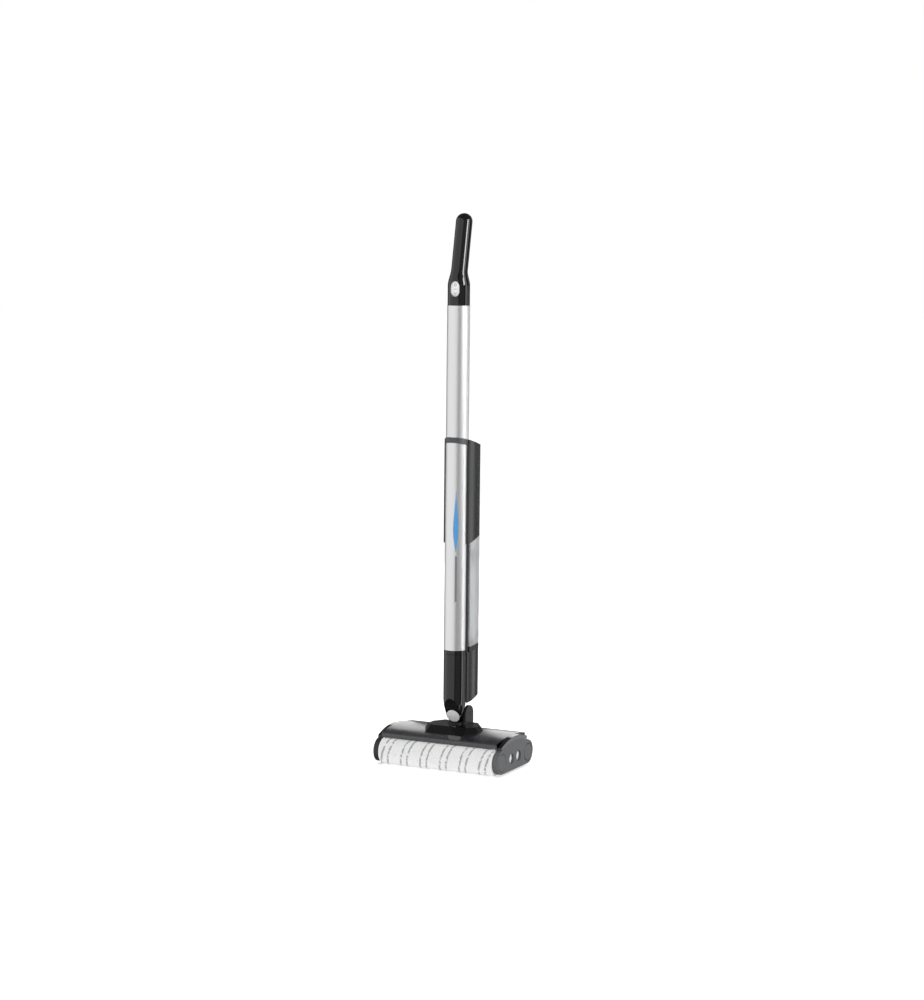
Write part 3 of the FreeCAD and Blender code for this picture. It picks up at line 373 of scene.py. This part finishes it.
def make_sleeve(which, material):
    """A tube of pile: tufted outside, rounded at the ends, with loose fibres standing off it."""
    low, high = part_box(which + "_roller_sleeve")
    centre = (low + high) / 2
    radius = (high.z - low.z) / 2
    half = (high.x - low.x) / 2
    around, corner_steps, run = 300, 6, 210
    rounding, wall = 0.0035, 0.0055
    pile_top = radius - 0.0005
    rng = random.Random(7 if which == "front" else 11)

    # profile along the roller: inner edge, rounded end, straight run, rounded end, inner edge
    left = [(-half, radius - wall)]
    for step in range(corner_steps, -1, -1):
        angle = math.radians(90 * step / corner_steps)
        left.append((-half + rounding * (1 - math.sin(angle)),
                     pile_top - rounding * (1 - math.cos(angle))))
    inner = half - rounding
    straight = [(-inner + 2 * inner * i / run, pile_top) for i in range(1, run)]
    profile = left + straight + [(-x, r) for x, r in reversed(left)]

    fine, coarse = 420, 0.22  # noise scale per metre, and the broad waves' share of it
    fine_depth, coarse_depth = 0.00045, 0.0004
    vertices, faces = [], []
    for x, r in profile:
        for step in range(around):
            angle = 2 * math.pi * step / around
            spot = Vector((x * fine, r * math.cos(angle) * fine, r * math.sin(angle) * fine))
            tuft = noise.noise(spot) * fine_depth + noise.noise(spot * coarse) * coarse_depth
            grown = min(r + tuft, radius)
            vertices.append((x, grown * math.cos(angle), grown * math.sin(angle)))
    rows = len(profile)
    for row in range(rows - 1):
        for step in range(around):
            after = (step + 1) % around
            faces.append((row * around + step, row * around + after,
                          (row + 1) * around + after, (row + 1) * around + step))
    # loose fibres, each one narrow leaning blade
    fibres, end_gap, width = 9000, 0.001, 0.00016
    foot = radius - 0.0018
    for _ in range(fibres):
        x = rng.uniform(-half + end_gap, half - end_gap)
        angle = rng.uniform(0, 2 * math.pi)
        lean, drift = rng.uniform(-0.07, 0.07), rng.uniform(-0.0012, 0.0012)
        tip = radius + rng.uniform(-0.0003, 0.0006)
        start = len(vertices)
        for dx, r, a in ((-width, foot, angle), (width, foot, angle), (drift, tip, angle + lean)):
            vertices.append((x + dx, r * math.cos(a), r * math.sin(a)))
        faces.append((start, start + 1, start + 2))
    sleeve = add_mesh(which + "_pile_sleeve", vertices, faces, material, which + "_roller",
                      origin=centre)
    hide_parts(which + "_roller_sleeve")


def on_tube(points, rise):
    """Wrap (across, height) points round the front of the stick's tube, just off its surface."""
    low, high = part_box("main_tube")
    axis_y = (low.y + high.y) / 2
    radius = (high.x - low.x) / 2 + rise
    wrapped = []
    for across, height in points:
        angle = across / radius
        wrapped.append((radius * math.sin(angle), axis_y - radius * math.cos(angle), height))
    return wrapped


def make_motif(name, colour, centre, low, high, widths):
    """A plain printed shape on the tube, in mm: centre across, low and high ends, half-widths."""
    paint = Paint(name).set(Roughness=0.35)
    wear = paint.noise(500.0, 2.0)
    shades = [tuple(c * k for c in colour) for k in (0.9, 1.05)]
    paint.link(paint.ramp(wear, (0.3, shades[0]), (0.7, shades[1])), paint.shader.inputs["Base Color"])
    steps, across = 40, 4
    film = 0.00012  # how far the print stands off the tube
    flat = []
    for i in range(steps + 1):
        t = i / steps
        spot = t * (len(widths) - 1)
        k = min(int(spot), len(widths) - 2)
        half = (widths[k] + (widths[k + 1] - widths[k]) * (spot - k)) * MM
        for j in range(across + 1):
            flat.append((centre * MM + half * (2 * j / across - 1), (low + (high - low) * t) * MM))
    vertices = on_tube(flat, film)
    row = across + 1
    faces = [(i * row + j, i * row + j + 1, (i + 1) * row + j + 1, (i + 1) * row + j)
             for i in range(steps) for j in range(across)]
    add_mesh(name, vertices, faces, paint.material, "stick")


def raised_path(points, half, rise):
    """Vertices and faces of a raised line through (x, z) points: half its width, and its height."""
    vertices, faces = [], []
    for i, (x, z) in enumerate(points):
        before = Vector(points[max(i - 1, 0)])
        after = Vector(points[min(i + 1, len(points) - 1)])
        along = (after - before).normalized()
        side = Vector((-along.y, along.x)) * half
        for sign, depth in ((-1, 0.0), (-0.8, rise), (0.8, rise), (1, 0.0)):
            vertices.append((x + side.x * sign, -depth, z + side.y * sign))
    for i in range(len(points) - 1):
        for j in range(3):
            faces.append((4 * i + j, 4 * i + j + 1, 4 * i + j + 5, 4 * i + j + 4))
    faces.append((0, 1, 2, 3))
    last = 4 * (len(points) - 1)
    faces.append((last + 3, last + 2, last + 1, last))
    return vertices, faces


def make_button_marks():
    """Plain raised marks on the power button: a broken ring, a dash and a small chevron."""
    low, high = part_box("power_button")
    middle = (low + high) / 2
    material = moulded_plastic("button_marks", (0.10, 0.10, 0.105), 0.4)
    ring_radius, ring_height, ring_steps = 0.0026, 0.0085, 24
    ring_start, ring_sweep = 120, 300  # degrees, open at the top
    line_half, line_rise = 0.0004, 0.0002
    ring = []
    for i in range(ring_steps + 1):
        angle = math.radians(ring_start + ring_sweep * i / ring_steps)
        ring.append((ring_radius * math.cos(angle), ring_height + ring_radius * math.sin(angle)))
    marks = {"ring": ring, "stem": [(0, 0.0098), (0, 0.0122)], "dash": [(-0.0042, 0.0), (0.0042, 0.0)],
             "chevron": [(-0.0026, -0.0078), (0, -0.0104), (0.0026, -0.0078)]}
    for name, points in marks.items():
        vertices, faces = raised_path(points, line_half, line_rise)
        add_mesh("button_mark_" + name, vertices, faces, material, "power_button", smooth=False,
                 origin=(middle.x, low.y, middle.z))


# ---------------------------------------------------------------- build

make_camera()
make_studio()
assign_finishes()
pile = pile_material()
make_sleeve("front", pile)
make_sleeve("rear", pile)
make_motif("blue_leaf", (0.07, 0.27, 0.56), 10.0, 472, 603, [0.4, 3.2, 5.4, 6.0, 5.4, 4.0, 2.4, 1.2, 0.3])
make_motif("grey_bar", (0.16, 0.16, 0.165), 11.0, 362, 462, [2.2, 2.2, 2.2])
make_button_marks()
